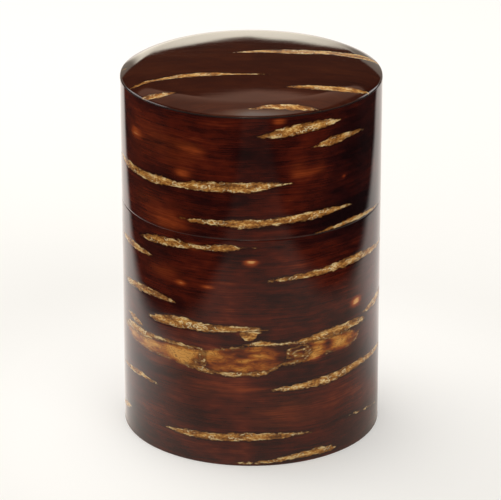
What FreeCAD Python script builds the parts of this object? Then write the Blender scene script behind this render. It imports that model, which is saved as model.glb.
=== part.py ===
"""Round tea caddy in cherry bark: a body with a raised neck, a domed lid, and an inner lid with a knob.

Thin polished bark is glued over rolled veneer tubes and turned boards, outside and inside.
Millimetres, +Z up, origin at the centre of the foot. The front faces -Y and the bark seams face +Y.
"""
import FreeCAD, Part
import math
import os

# Overall sizes
CADDY_DIAMETER = 82.0
CADDY_HEIGHT = 120.6       # foot to the top of the crown
SHOULDER_HEIGHT = 76.2     # foot to the line where the lid meets the body

# Sheets of bark, and the veneer and boards under them
OUTER_BARK = 0.6           # polished bark on the wall, the foot and the crown
LINING_BARK = 0.4          # thinner bark on the neck and inside
BODY_CORE = 1.9            # rolled veneer wall of the body
SLEEVE_VENEER = 0.7        # rolled veneer of the sleeve that makes the neck
BASE_BOARD = 5.0           # turned board in the foot
TOP_BOARD_EDGE = 4.0       # turned board in the lid, measured at its edge

# Crown of the lid: a wide flat dome that rolls over faster close to the rim
CROWN_RADIUS = 320.0
ROLL_BAND = 7.0            # width of the faster curve, in from the rim
ROLL_RADIUS = 16.0

# Fits
LID_CLEARANCE = 0.15       # lid lining to neck, on the radius
PLUG_CLEARANCE = 0.2       # inner lid plug to lining, on the radius
FLANGE_CLEARANCE = 0.25    # inner lid flange to lid lining, on the radius
HEADROOM = 1.2             # knob to lid ceiling

# Inner lid
FLANGE_BOARD = 2.2         # turned disc that rests on the neck
PLUG_DEPTH = 8.0
PLUG_VENEER = 0.9
KNOB_DIAMETER = 16.0
KNOB_HEIGHT = 7.2
KNOB_WAIST_DIAMETER = 8.4
KNOB_FOOT_DIAMETER = 11.0
KNOB_CAP_THICKNESS = 3.4
KNOB_CROWN = 0.8           # rise of the cap's top to its centre
PEG_DIAMETER = 3.2
PEG_IN_KNOB = 4.0

# Edges and seams
RIM_ROUND = 0.6            # lid rim
FOOT_ROUND = 0.3           # foot edge
SEAM_BREAK = 0.18          # broken edge on each side of the lid line
LIP_ROUND = 0.25           # lips that slide on each other
FLANGE_ROUND = 0.3
KNOB_FOOT_ROUND = 0.6
KNOB_WAIST_ROUND = 1.6
KNOB_EDGE_ROUND = 1.4
SEAM_GAP = 0.08            # glue line where the two ends of a bark sheet meet
SEAM_SIDE = 90.0           # direction of the bark seams round the axis, 90 is the back

# Trimming
RIM_OVERRUN = 8.0          # degrees that the crown's curve is carried on past the rim before it is trimmed
SAME_PLACE = 1e-3          # two measures closer than this are the same

# Radii of the body's layers, from the outside in
wall_r = CADDY_DIAMETER / 2
core_r = wall_r - OUTER_BARK
neck_r = core_r - BODY_CORE
sleeve_r = neck_r - LINING_BARK
lining_r = sleeve_r - SLEEVE_VENEER
bore_r = lining_r - LINING_BARK

# Radii of the lid's layers, from the inside out
lid_bore_r = neck_r + LID_CLEARANCE
lid_core_bore_r = lid_bore_r + LINING_BARK

# Crown: the two arcs meet tangent at roll_start_r
roll_start_r = wall_r - ROLL_BAND
roll_start_angle = math.asin(roll_start_r / CROWN_RADIUS)
rim_angle = math.asin(ROLL_BAND / ROLL_RADIUS + roll_start_r / CROWN_RADIUS)
crown_centre_z = CADDY_HEIGHT - CROWN_RADIUS
roll_centre_r = (CROWN_RADIUS - ROLL_RADIUS) * math.sin(roll_start_angle)
roll_centre_z = crown_centre_z + (CROWN_RADIUS - ROLL_RADIUS) * math.cos(roll_start_angle)
rim_z = roll_centre_z + ROLL_RADIUS * math.cos(rim_angle)

# Heights, from the foot up and from the crown down
board_top_z = OUTER_BARK + BASE_BOARD
floor_z = board_top_z + LINING_BARK
top_board_z = rim_z - OUTER_BARK - TOP_BOARD_EDGE
ceiling_z = top_board_z - LINING_BARK
knob_z = ceiling_z - HEADROOM - KNOB_HEIGHT
flange_top_z = knob_z - LINING_BARK
neck_top_z = flange_top_z - FLANGE_BOARD
plug_z = neck_top_z - PLUG_DEPTH

# Radii of the inner lid
flange_r = lid_bore_r - FLANGE_CLEARANCE
plug_r = bore_r - PLUG_CLEARANCE
plug_veneer_r = plug_r - LINING_BARK
plug_bore_r = plug_veneer_r - PLUG_VENEER
peg_r = PEG_DIAMETER / 2


def at(r, z):
    """A point of a profile, at radius r and height z."""
    return FreeCAD.Vector(r, 0, z)


def outline(corners):
    """Closed profile through corners (r, z), or (r, z, round) for a corner rounded by a tangent arc."""
    starts, ends, arcs = [], [], []
    count = len(corners)
    for i, corner in enumerate(corners):
        here = at(*corner[:2])
        radius = corner[2] if len(corner) > 2 else 0
        to_last = (at(*corners[i - 1][:2]) - here).normalize()
        to_next = (at(*corners[(i + 1) % count][:2]) - here).normalize()
        half = to_last.getAngle(to_next) / 2
        reach = radius / math.tan(half)
        starts.append(here + to_last * reach)
        ends.append(here + to_next * reach)
        if radius:
            inward = (to_last + to_next).normalize()
            middle = here + inward * (radius / math.sin(half) - radius)
            arcs.append(Part.Arc(starts[i], middle, ends[i]).toShape())
        else:
            arcs.append(None)
    edges = []
    for i in range(count):
        if arcs[i]:
            edges.append(arcs[i])
        edges.append(Part.LineSegment(ends[i], starts[(i + 1) % count]).toShape())
    return Part.Wire(edges)


def turned(profile, start=0, sweep=360):
    """Solid made by turning a closed profile round the axis, through sweep degrees from start."""
    centre = FreeCAD.Vector(0, 0, 0)
    axis = FreeCAD.Vector(0, 0, 1)
    face = Part.Face(profile)
    face.rotate(centre, axis, start)
    return face.revolve(centre, axis, sweep)


def wall_profile(inner_r, outer_r, low_z, high_z, rounds):
    """Section of a tube whose corners may be rounded: inner low, outer low, outer high, inner high."""
    places = [(inner_r, low_z), (outer_r, low_z), (outer_r, high_z), (inner_r, high_z)]
    return outline([(*place, round_) for place, round_ in zip(places, rounds)])


def tube(inner_r, outer_r, low_z, high_z):
    return turned(wall_profile(inner_r, outer_r, low_z, high_z, (0, 0, 0, 0)))


def bark_wrap(inner_r, outer_r, low_z, high_z, rounds):
    """One sheet of bark rolled round the axis, with a thin glue line where its ends meet at the back."""
    gap_angle = math.degrees(SEAM_GAP / outer_r)
    profile = wall_profile(inner_r, outer_r, low_z, high_z, rounds)
    return turned(profile, SEAM_SIDE + gap_angle / 2, 360 - gap_angle)


def disc(r, low_z, high_z, low_round=0, high_round=0):
    return turned(outline([(0, low_z), (r, low_z, low_round), (r, high_z, high_round), (0, high_z)]))


def under_crown(depth):
    """Everything from the foot up to the crown's surface lowered by depth, out to beyond the rim."""
    crown_r = CROWN_RADIUS - depth
    roll_r = ROLL_RADIUS - depth
    past_rim = rim_angle + math.radians(RIM_OVERRUN)

    def crown(angle):
        return at(crown_r * math.sin(angle), crown_centre_z + crown_r * math.cos(angle))

    def roll(angle):
        return at(roll_centre_r + roll_r * math.sin(angle), roll_centre_z + roll_r * math.cos(angle))

    top = Part.Arc(crown(0), crown(roll_start_angle / 2), crown(roll_start_angle))
    side = Part.Arc(roll(roll_start_angle), roll((roll_start_angle + past_rim) / 2), roll(past_rim))
    edge = roll(past_rim)
    corners = [edge, at(edge.x, 0), at(0, 0), crown(0)]
    lines = [Part.LineSegment(a, b).toShape() for a, b in zip(corners, corners[1:])]
    return turned(Part.Wire([top.toShape(), side.toShape()] + lines))


def body_pieces():
    """Foot, wall and sleeve. The sleeve stands on the base board and rises past the wall as the neck."""
    return {
        "base_bark": disc(wall_r, 0, OUTER_BARK, low_round=FOOT_ROUND),
        "base_board": disc(neck_r, OUTER_BARK, board_top_z),
        "body_core": tube(neck_r, core_r, OUTER_BARK, SHOULDER_HEIGHT),
        "body_bark": bark_wrap(core_r, wall_r, OUTER_BARK, SHOULDER_HEIGHT, (0, 0, SEAM_BREAK, 0)),
        "sleeve_bark": bark_wrap(sleeve_r, neck_r, board_top_z, neck_top_z, (0, 0, LIP_ROUND, 0)),
        "inner_sleeve": tube(lining_r, sleeve_r, board_top_z, neck_top_z),
        "inner_bark": bark_wrap(bore_r, lining_r, floor_z, neck_top_z, (0, 0, 0, LIP_ROUND)),
        "floor_bark": disc(lining_r, board_top_z, floor_z),
    }


def lid_pieces():
    """Wall, board and crown. The wall and the board end together under the crown's bark."""
    under_bark = under_crown(OUTER_BARK)
    wall = bark_wrap(core_r, wall_r, SHOULDER_HEIGHT, CADDY_HEIGHT, (0, SEAM_BREAK, 0, 0))
    core = tube(lid_core_bore_r, core_r, SHOULDER_HEIGHT, CADDY_HEIGHT)
    board = disc(lid_core_bore_r, top_board_z, CADDY_HEIGHT)
    lip = (LIP_ROUND, 0, 0, 0)
    return {
        "lid_bark": wall.common(under_bark),
        "lid_core": core.common(under_bark),
        "lid_lining": bark_wrap(lid_bore_r, lid_core_bore_r, SHOULDER_HEIGHT, top_board_z, lip),
        "lid_top_board": board.common(under_bark),
        "lid_top_bark": crown_bark(under_bark),
        "lid_ceiling_bark": disc(lid_bore_r, ceiling_z, top_board_z),
    }


def crown_bark(under_bark):
    """Domed sheet over the whole lid, trimmed to the wall and rounded at the rim."""
    blank = disc(wall_r, SHOULDER_HEIGHT, CADDY_HEIGHT + OUTER_BARK)
    sheet = under_crown(0).common(blank).cut(under_bark)

    def is_rim(edge):
        box = edge.BoundBox
        return abs(box.XMax - wall_r) < SAME_PLACE and abs(box.ZMin - rim_z) < SAME_PLACE

    return sheet.makeFillet(RIM_ROUND, [edge for edge in sheet.Edges if is_rim(edge)])


def inner_lid_pieces():
    """Flanged disc that rests on the neck, its plug ring, and a turned knob held by a peg."""
    flange = disc(flange_r, neck_top_z, flange_top_z, low_round=FLANGE_ROUND)
    face = disc(flange_r, flange_top_z, knob_z, high_round=FLANGE_ROUND)
    peg = disc(peg_r, neck_top_z, knob_z + PEG_IN_KNOB)
    return {
        "inner_lid_board": flange.cut(peg),
        "inner_lid_bark": face.cut(peg),
        "inner_lid_underbark": disc(plug_bore_r, neck_top_z - LINING_BARK, neck_top_z),
        "plug_ring": tube(plug_bore_r, plug_veneer_r, plug_z, neck_top_z),
        "plug_bark": bark_wrap(plug_veneer_r, plug_r, plug_z, neck_top_z, (0, LIP_ROUND, 0, 0)),
        "knob": knob().cut(peg),
        "knob_peg": peg,
    }


def knob():
    """Button knob: a spread foot, a drawn-in waist and a crowned cap."""
    top_z = knob_z + KNOB_HEIGHT
    cap_z = top_z - KNOB_CAP_THICKNESS
    waist_z = (knob_z + cap_z) / 2
    cap_r = KNOB_DIAMETER / 2
    profile = outline([
        (0, knob_z),
        (KNOB_FOOT_DIAMETER / 2, knob_z, KNOB_FOOT_ROUND),
        (KNOB_WAIST_DIAMETER / 2, waist_z, KNOB_WAIST_ROUND),
        (cap_r, cap_z, KNOB_EDGE_ROUND),
        (cap_r, top_z - KNOB_CROWN, KNOB_EDGE_ROUND),
        (0, top_z),
    ])
    return turned(profile)


def main():
    os.makedirs("parts", exist_ok=True)
    pieces = {**body_pieces(), **lid_pieces(), **inner_lid_pieces()}
    for name, shape in pieces.items():
        solids = shape.Solids
        print(f"{name}: {len(solids)} solid, valid {shape.isValid()}, {shape.Volume:.1f} mm3")
        Part.makeCompound(solids).exportStep(f"parts/{name}.step")
    print(f"neck stands {neck_top_z - SHOULDER_HEIGHT:.2f} above the shoulder, rim at {rim_z:.2f}")


main()
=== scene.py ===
# %% [markdown]
# Round tea caddy in polished cherry bark.
# The imported model gives every piece its place and its motion, so it is loaded first and never moved.

# %% Load the frame
import math
import random

import bmesh
import bpy
import numpy as np
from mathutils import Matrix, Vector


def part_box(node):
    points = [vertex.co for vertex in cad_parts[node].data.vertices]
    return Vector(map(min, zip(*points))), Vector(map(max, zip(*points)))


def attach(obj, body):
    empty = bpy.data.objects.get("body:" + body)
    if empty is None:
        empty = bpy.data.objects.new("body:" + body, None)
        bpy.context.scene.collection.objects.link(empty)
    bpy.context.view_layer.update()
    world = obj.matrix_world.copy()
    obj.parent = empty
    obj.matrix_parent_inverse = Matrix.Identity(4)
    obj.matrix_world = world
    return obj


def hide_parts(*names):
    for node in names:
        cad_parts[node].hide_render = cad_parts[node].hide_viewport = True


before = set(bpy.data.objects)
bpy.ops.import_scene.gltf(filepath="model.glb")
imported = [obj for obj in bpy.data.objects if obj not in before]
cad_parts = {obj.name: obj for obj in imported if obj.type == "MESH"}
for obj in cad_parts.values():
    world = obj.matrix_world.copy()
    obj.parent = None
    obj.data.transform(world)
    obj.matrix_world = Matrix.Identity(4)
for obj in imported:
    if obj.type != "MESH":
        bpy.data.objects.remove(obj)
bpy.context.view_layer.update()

MM = 0.001
scene = bpy.context.scene
scene.view_settings.view_transform = "Standard"

# %% [markdown]
# The camera comes first, because every later look is judged through it.
# A long lens from about a metre away keeps the two sides nearly parallel.
# It looks down by about 22 degrees, which is read from how round the foot and the rim appear.

# %% Camera
CAMERA_DISTANCE = 1.064
CAMERA_DROP = math.radians(21.93)
AIM_HEIGHT = 0.0566
SIDE_STEP = -0.00025
LENS_MM = 239.9
SENSOR_MM = 36.0

camera_data = bpy.data.cameras.new("camera")
camera_data.lens = LENS_MM
camera_data.sensor_width = SENSOR_MM
camera = bpy.data.objects.new("camera", camera_data)
scene.collection.objects.link(camera)
camera.location = (
    SIDE_STEP,
    -CAMERA_DISTANCE * math.cos(CAMERA_DROP),
    AIM_HEIGHT + CAMERA_DISTANCE * math.sin(CAMERA_DROP),
)
camera.rotation_euler = (math.pi / 2 - CAMERA_DROP, 0.0, 0.0)
scene.camera = camera
print("camera at", [round(c, 4) for c in camera.location])

# %% [markdown]
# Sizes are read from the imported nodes, so a piece made here always fits the solid it stands for.
# Each round node is known by its radius and by its lowest and highest level.

# %% Sizes from the nodes


def span(node):
    """Radius, low and high level of a round node, in metres."""
    low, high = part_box(node)
    return high[0], low[2], high[2]


wall_r, wall_low, shoulder = span("body_bark")
core_r = span("body_core")[0]
crown_top = span("lid_top_bark")[2]
CROWN_RADIUS = 320 * MM
ROLL_RADIUS = 16 * MM
ROLL_BAND = 7 * MM
BARK = wall_r - core_r
wall_girth = 2 * math.pi * wall_r
print(f"wall radius {wall_r / MM:.2f} mm, shoulder {shoulder / MM:.2f} mm, bark {BARK / MM:.2f} mm")

# %% [markdown]
# Cherry bark is crossed by lenticels, long corky spindles that lie along the girth of the tree.
# They could be left to chance, but the eye knows this caddy by them, so those in view are listed one by
# one.
# Each is a row of knots: arc from the front line, height, and half width, all in millimetres.
# A mark over the lid line is listed once, because lid and body are cut from one wrapped tube.

# %% Marks on the wall
WALL_MARKS = [
    [(1, 109.5, 0), (4.5, 110, .7), (9, 110.6, 1.6), (15, 111.4, 1.7), (22, 111.8, 1.4),
     (27, 111.8, .8), (30, 111.6, 0)],
    [(19, 104.8, 0), (22, 105.2, .6), (26, 105.6, 1.5), (31, 106, 1.1), (36, 106, .6), (42, 105.6, 0)],
    [(-60, 92, 0), (-54, 91.8, .9), (-48, 91.6, 1.4), (-41, 91.5, 1.1), (-36, 91.4, 1.4),
     (-30, 91.8, 1.5), (-24, 92, .8), (-19, 92.6, 1.3), (-13, 93, 1.6), (-7, 93.2, 1.5),
     (-2, 93.3, 1.7), (3, 93.6, 1.4), (7, 94, .7), (12, 94.2, 0)],
    [(-24, 81.4, 0), (-19, 81.2, .6), (-10, 81.5, .9), (-5, 81.4, 1.3), (0, 81.6, 1.5), (4, 81.8, 1),
     (12, 82.4, 1.2), (20, 82.8, 1.4), (26, 83, .9), (31, 83, .5), (36, 82.8, 0)],
    [(20, 76.4, 0), (26, 77.2, .5), (34, 77.6, .8), (42, 77.4, .7), (50, 76.8, .5), (56, 76.5, 0)],
    [(-41, 70.6, 0), (-37, 71.3, 1), (-31, 72, 1.4), (-24, 72.5, 1.3), (-20, 72.6, .8),
     (-16, 72.8, .6), (-10, 73.2, 1.2), (-6, 73.4, 1), (-3, 73.6, .2), (2, 73.6, 0)],
    [(-58, 66, 0), (-52, 66, 1), (-46, 66, 1.2), (-40, 65.8, .9), (-34, 65.6, 0)],
    [(4, 62.4, 0), (8, 62.8, .5), (15, 63.2, .9), (22, 63.5, 1), (30, 64, 1.3), (38, 64.2, 1.3),
     (46, 63.6, 1), (54, 63, .8), (62, 62.5, 0)],
    [(-56, 51.8, 0), (-50, 52.2, 1), (-43, 52.8, 1.3), (-35, 53.4, 1.1), (-29, 53, .8),
     (-24, 52.6, 0)],
    [(41, 44, 0), (46, 44.4, .9), (52, 45, 1.5), (58, 45.4, 1.4), (64, 45.5, 0)],
    [(-37, 45, 0), (-33, 45.3, 1.2), (-27, 46.2, 1.8), (-22, 46.5, 1.9), (-17, 46.2, 1.5),
     (-12, 46.2, 1.2), (-5, 46.7, 1), (2, 46.5, .6), (6, 46.3, 0)],
    [(13, 41, 0), (16, 41.5, .6), (20, 41.7, 1), (24, 42, 1.5), (29, 42.2, 1.4), (34, 42.4, 1.3),
     (39, 42.3, 1.2), (42, 42, .7), (44, 42, 0)],
    [(-60, 21.5, 0), (-54, 22, .7), (-47, 22.8, .9), (-41, 23.2, .8), (-36, 22.8, .5), (-32, 22.5, 0)],
    [(5, 25.8, 0), (9, 26, .6), (14, 26.1, 1), (19, 26.3, 1.2), (26, 26.6, 1.5), (33, 27.2, 1.3),
     (40, 27.8, 1.1), (50, 27.5, 1), (58, 26.8, .8), (64, 26.5, 0)],
    [(-66, 5, 0), (-60, 6, 1), (-54, 7.5, 1.2), (-49, 8.8, 0)],
    [(-30, 9, 0), (-22, 9.2, 1), (-15, 9.4, 1.3), (-10, 9.5, 1.2), (-5, 10, 1.4), (0, 10.1, 1.4),
     (5, 10.1, 1.1), (11, 10, .8), (17, 9.9, .4), (20, 9.8, 0)],
    [(-6, .9, 0), (-3, 1, .3), (3, 1.3, .5), (8, 1.6, .7), (13, 2.3, .9), (18, 2.6, 1), (23, 2.6, 1.2),
     (27, 2.3, .9), (30, 2, 0)],
    [(33, 11.3, 0), (40, 10.6, .3), (48, 9.4, .3), (58, 7.2, 0)],
    [(-54, 37.6, 0), (-49, 38, 1.2), (-44, 38, 1.3), (-39, 38.1, 1.1), (-34.5, 38.4, .7),
     (-28, 39, .5), (-20, 38.8, .4), (-15, 39, 0)],
    [(-21, 32.8, 0), (-17, 32.4, .7), (-14, 31.8, .8), (-11.5, 31.5, .3), (-8, 31.3, .7),
     (-5, 31.3, .8), (-2, 31.6, .3), (2, 31.6, .9), (5, 31.9, .6), (8, 33.4, .2), (11, 35.6, 0)],
    [(-4, 41, 0), (0, 41.6, .4), (3, 41.8, .9), (5.5, 41.7, .9), (7.5, 41.5, .3), (12, 41.3, .4),
     (16, 41, 0)],
    [(-4, 45.6, 0), (-3.2, 44.9, 1), (-2, 44.4, 1.5), (-.8, 44.2, 1.7), (.4, 44.3, 1.5),
     (1.4, 44.7, 1), (2.4, 45.4, 0)],
    [(-52, 41.6, 0), (-48, 41.4, 1), (-45, 41, 1.1), (-42, 40.4, .7), (-39, 40, 0)],
]
print("marks laid by hand on the wall:", len(WALL_MARKS))

# %% [markdown]
# The crown has its own sheet of bark, laid flat, with its marks running from left to right.
# Its knots are given in the same way: across, towards the back, and half width.

# %% Marks on the crown
CROWN_MARKS = [
    [(-6, 7.2, 0), (-1, 7.9, .9), (5, 8.6, 1.5), (11, 8.8, 2), (16, 8.8, 2.2), (21, 9.6, 1.8),
     (26, 9.8, 1.7), (31, 9, 2.1), (36, 8.4, 2.2), (40.4, 8.2, 1.4)],
    [(-38.5, -16.4, 0), (-34.5, -16, .8), (-30.5, -15.2, .8), (-26, -13.9, 1), (-22, -12.9, 1.5),
     (-17, -12.5, 1.6), (-12, -12.5, 1.5), (-8, -12.9, .9), (-4, -13.2, .5), (1, -13.2, .4),
     (6, -13.2, 0)],
    [(10, -23.2, 0), (13, -22.8, .7), (18, -22.4, 1.5), (23, -22.4, 1.7), (28, -22.2, 1.7),
     (32, -21.2, 1.3), (35.2, -19.9, .6), (36.6, -19.2, 0)],
    [(-34, -23.6, 0), (-31.5, -24.9, 1), (-28.5, -25.8, 1.3), (-25.5, -26, .9), (-22.2, -25.8, 0)],
    [(-1, -38.2, 0), (2, -37.7, .5), (5, -36.9, .9), (9, -36.5, 1.2), (12, -36.3, 1.3), (15, -36, 1),
     (18, -35.6, .7), (20.4, -35.2, 0)],
    [(-40.8, 1.2, .4), (-39.7, 1.1, .5), (-38.8, .9, .4), (-37.8, .8, 0)],
]
print("marks laid by hand on the crown:", len(CROWN_MARKS))

# %% [markdown]
# Where the tree healed a wound the bark keeps a wide orange scar with bright corky edges.
# Its upper and lower outlines are rows of arc and height, and the scar is what lies between them.
# The outlines cross at both ends, so nothing of the scar runs on round the back.
# Glowing spots, where light passes through thin bark, are given as place, reach and strength.
# Where their strength is below 0 they darken the bark instead.
# Cork also grows in small curls, each an oval line with its centre and its two half widths.

# %% Scar and glowing spots
SCAR_ABOVE = [
    (-58, 32), (-54, 36.8), (-47, 37.4), (-41, 37.4), (-35.5, 37.8), (-30, 38.8), (-24, 39),
    (-19.5, 38.4), (-15, 38.7), (-8, 39.8), (-2.5, 40.6), (3, 41.5), (7, 41.6), (11, 41.4), (18, 40.8),
    (24, 40.8), (28, 40.8), (34, 40.4), (40, 38.8), (44, 34),
]
SCAR_BELOW = [
    (-58, 41), (-54, 36.2), (-47, 34.2), (-38.5, 33.5), (-32, 33.3), (-26.5, 33), (-22.5, 32.4),
    (-18, 32), (-12.5, 31.2), (-7, 31.1), (-2.5, 31), (4, 31.4), (7, 33), (9.5, 34.3), (13, 34.5),
    (18, 34), (22, 35), (25, 35.8), (28, 35.8), (34, 35.6), (38, 36.6), (40, 38.8), (44, 43.6),
]
WALL_GLOWS = [
    (8.4, 114.3, 2.2, .9, 1), (-43, 104, 3, 1.6, .8), (-22, 96, 2.6, 1.2, .7), (18, 96.7, 4, 1, .4),
    (31.4, 93, 1.4, .9, 1.1), (48.6, 92.4, 1.2, 1.4, 1), (-18.5, 104.2, 5, 2, .4),
    (-24, 101, 12, 5, .2), (14, 99, 4, 5, .3), (23, 98, 4, 4, .3), (-28, 78.8, 7, 2.6, .35),
    (-36, 84, 9, 4, .1), (-33, 107, 10, 3, .2), (0, 68.8, 2.5, 1.2, 1.55), (-23, 59.8, 1.8, .8, .8),
    (-13.6, 59.9, 2, .5, .9), (-18.5, 72.6, 3, 1.2, .8), (38, 49.3, 2.4, 1.4, 1.5),
    (0, 26.4, 5, .5, .5), (-30, 62, 8, 3, .3), (12, 70, 9, 3, .25), (-12, 27, 12, 4, .25),
    (10, 17, 9, 4, .2), (-3, 45.1, 1.6, 1.2, .5), (-34, 31, 8, 2, .35), (-42, 100, 12, 14, .12),
    (0, 104, 10, 9, -.6), (40, 98, 12, 20, -1), (36, 82, 16, 6, -1), (18, 80, 12, 5, -.6),
    (-30, 81, 14, 6, .15), (6, 71, 16, 6, -.4), (14, 18, 34, 9, .15), (22, 90, 8, 4, -.4),
    (-45, 35.8, 5, 1.5, .9), (-37, 35.6, 6, 1.8, 1.2), (-27.5, 36, 5, 2.4, 1.2),
    (-20.5, 35.4, 4, 2.6, .8), (-13, 36.4, 4, 2.4, .7), (1.5, 36, 3, 1.6, .4),
    (20.4, 35.9, 2.4, 1.6, 1.3), (22.4, 37.4, 1.8, 1.2, .6), (31.4, 37.9, 4.4, 1.9, 2.2),
    (10, 37.6, 2.2, 3, -1.6), (25.6, 38.6, 1.4, 2.6, -1), (16, 40, 5, 1.2, -1), (-4, 36.5, 3, 3, -.2),
]
CURLS = [(-15.6, 36.2, .9, 1.8), (-16.3, 33.8, 1.7, 1.1), (15.2, 37.4, 3.8, 2.5), (15.6, 37.5, 2, 1.1)]
print("scar from", SCAR_ABOVE[1][0], "to", SCAR_ABOVE[-2][0], "mm, glowing spots:", len(WALL_GLOWS))

# %% [markdown]
# The far side isn't known. Its marks are drawn by a seeded chance, so they come out the same every time.

# %% Marks on the far side and on the linings
KNOTS = 7


def chance_marks(seed, across, along, count, longest):
    """Spindles with chance places in a field, given as (low, high) across and along."""
    draw = random.Random(seed)
    marks = []
    for i in range(count):
        level = along[0] + (along[1] - along[0]) * (i + draw.uniform(.15, .85)) / count
        length = draw.uniform(.35, 1) * longest
        start = draw.uniform(across[0], max(across[0], across[1] - length))
        fat = draw.uniform(.6, 1.7)
        rise = draw.uniform(-1, 1)
        knots = []
        for step in range(KNOTS):
            t = step / (KNOTS - 1)
            swell = math.sin(math.pi * t) ** .7 * draw.uniform(.65, 1.1)
            height = level + rise * math.sin(2.2 * t) + draw.uniform(-.2, .2)
            knots.append((start + t * length, height, fat * swell))
        marks.append(knots)
    return marks


half_girth = wall_girth / MM / 2
far_marks = chance_marks(11, across=(64, 2 * half_girth - 66), along=(4, 114), count=24, longest=52)
print("marks on the far side:", len(far_marks))

# %% [markdown]
# Every vertex of a bark piece is told how deep it lies inside a mark, in millimetres, negative outside.
# Painting could do this too, but a depth lets the finish fray the edges and draw rings inside.
# The depth is stored with REACH added and cut at zero, so that bare bark reads as zero.

# %% Depth of the marks
REACH = 3.0
CURL_LINE = 0.3
CURL_WOBBLES = ((3, 1, .05), (5, 2, .04))
PAST_END = 12.0


def depth_in(marks, across, along, girth=0):
    """Depth inside the nearest mark for arrays of places, where a girth closes the sheet on itself."""
    depth = np.full(across.shape, -REACH)
    for knots in marks:
        arc, level, half = (np.array(row, float) for row in zip(*knots))
        middle = (arc[0] + arc[-1]) / 2
        place = across if not girth else middle + (across - middle + girth / 2) % girth - girth / 2
        ends_arc = np.concatenate([[arc[0] - PAST_END], arc, [arc[-1] + PAST_END]])
        ends_half = np.concatenate([[-REACH], half, [-REACH]])
        inside = np.interp(place, ends_arc, ends_half) - np.abs(along - np.interp(place, arc, level))
        depth = np.maximum(depth, inside)
    return depth


def curl_depth(curls, across, along):
    """Depth inside the line of the nearest curl."""
    depth = np.full(across.shape, -REACH)
    for arc, level, wide, high in curls:
        turn = np.arctan2((along - level) / high, (across - arc) / wide)
        from_centre = np.hypot((across - arc) / wide, (along - level) / high)
        wobble = 1
        for lobes, phase, much in CURL_WOBBLES:
            wobble = wobble + much * np.sin(lobes * turn + phase * arc)
        from_centre *= wobble
        depth = np.maximum(depth, CURL_LINE - np.abs(from_centre - 1) * min(wide, high))
    return depth


def scar_depth(across, along):
    """Depth inside the scar, from its nearer outline."""
    above = np.interp(across, *zip(*SCAR_ABOVE)) - along
    below = along - np.interp(across, *zip(*SCAR_BELOW))
    return np.maximum(np.minimum(above, below), -REACH)


def glow_at(glows, across, along):
    """Strength of the glowing spots."""
    total = np.zeros(across.shape)
    for arc, level, wide, high, strength in glows:
        total += strength * np.exp(-((across - arc) / wide) ** 2 - ((along - level) / high) ** 2)
    return total


# %% [markdown]
# Every round piece is a section spun once round the axis.
# The section starts at the back, where the ends of a bark sheet meet, so the sheet opens there too.
# The corners that a hand would feel are rounded with a bevel after the spin.
# A long spin is slow, so one wedge is spun and then repeated round the axis.

# %% Spun pieces
TINY = 1e-6
WEDGES = 12
SHARP_ANGLE = math.radians(40)


def ring_edges(bm, r, z):
    """Edges of the circle with radius r at level z."""
    def on_circle(vert):
        return abs(math.hypot(vert.co.x, vert.co.y) - r) < TINY and abs(vert.co.z - z) < TINY
    return [edge for edge in bm.edges if all(on_circle(vert) for vert in edge.verts)]


def spin_wire(name, bm, steps, rounds):
    """Spins the wire in a bmesh once round the axis, rounds some circles, and makes a piece of it."""
    wedge = 2 * math.pi / WEDGES
    axis = {"cent": (0, 0, 0), "axis": (0, 0, 1)}
    bmesh.ops.spin(bm, geom=bm.verts[:] + bm.edges[:], angle=wedge, steps=steps // WEDGES, **axis)
    first = bm.verts[:] + bm.edges[:] + bm.faces[:]
    rest = {"angle": 2 * math.pi - wedge, "steps": WEDGES - 1, "use_duplicate": True}
    bmesh.ops.spin(bm, geom=first, **rest, **axis)
    bmesh.ops.remove_doubles(bm, verts=bm.verts[:], dist=TINY / 10)
    bmesh.ops.recalc_face_normals(bm, faces=bm.faces[:])
    for r, z, size, segments in rounds:
        bmesh.ops.bevel(bm, geom=ring_edges(bm, r, z), offset=size, offset_type="OFFSET", affect="EDGES",
                        segments=segments, profile=0.5, material=-1)
    mesh = bpy.data.meshes.new(name)
    bm.to_mesh(mesh)
    bm.free()
    mesh.shade_smooth()
    mesh.set_sharp_from_angle(angle=SHARP_ANGLE)
    piece = bpy.data.objects.new(name, mesh)
    scene.collection.objects.link(piece)
    return piece


def spun(name, corners, steps, rows=None, rounds=()):
    """Piece spun from corners (r, z). rows gives the cuts along a side, counted from the first corner."""
    bm = bmesh.new()
    points = [bm.verts.new((0, r, z)) for r, z in corners]
    pairs = list(zip(points, points[1:]))
    if corners[0][0] > 0:
        pairs.append((points[-1], points[0]))
    sides = [bm.edges.new(pair) for pair in pairs]
    for side, cuts in (rows or {}).items():
        bmesh.ops.subdivide_edges(bm, edges=[sides[side]], cuts=cuts)
    return spin_wire(name, bm, steps, rounds)


# %% [markdown]
# A bark piece keeps its sheet's own coordinates in millimetres, so the grain goes round with the sheet.
# Polished bark is not quite true: it has a slow swell, and its corky marks lie a hair lower.
# These hundredths of a millimetre are real in the mesh, because gloss shows them.
# Cut edges are marked too, because raw bark is darker and duller than polished bark. Under the crown's
# rim this mark also carries painted shade.

# %% Sheet coordinates, marks and relief
SWELL_MM = 0.035
CORK_SINK_MM = 0.02
SKIN_MM = 0.3


def swell(seed, across, along):
    """Slow uneven rise and fall from 0 to 1."""
    draw = random.Random(seed)
    total = np.zeros(across.shape)
    waves = 9
    for _ in range(waves):
        long_mm = draw.uniform(22, 60)
        high_mm = draw.uniform(14, 40) * draw.choice((-1, 1))
        total += np.sin(2 * np.pi * (across / long_mm + along / high_mm) + draw.uniform(0, 6.3))
    return .5 + .5 * np.tanh(total / waves ** .5)


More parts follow.
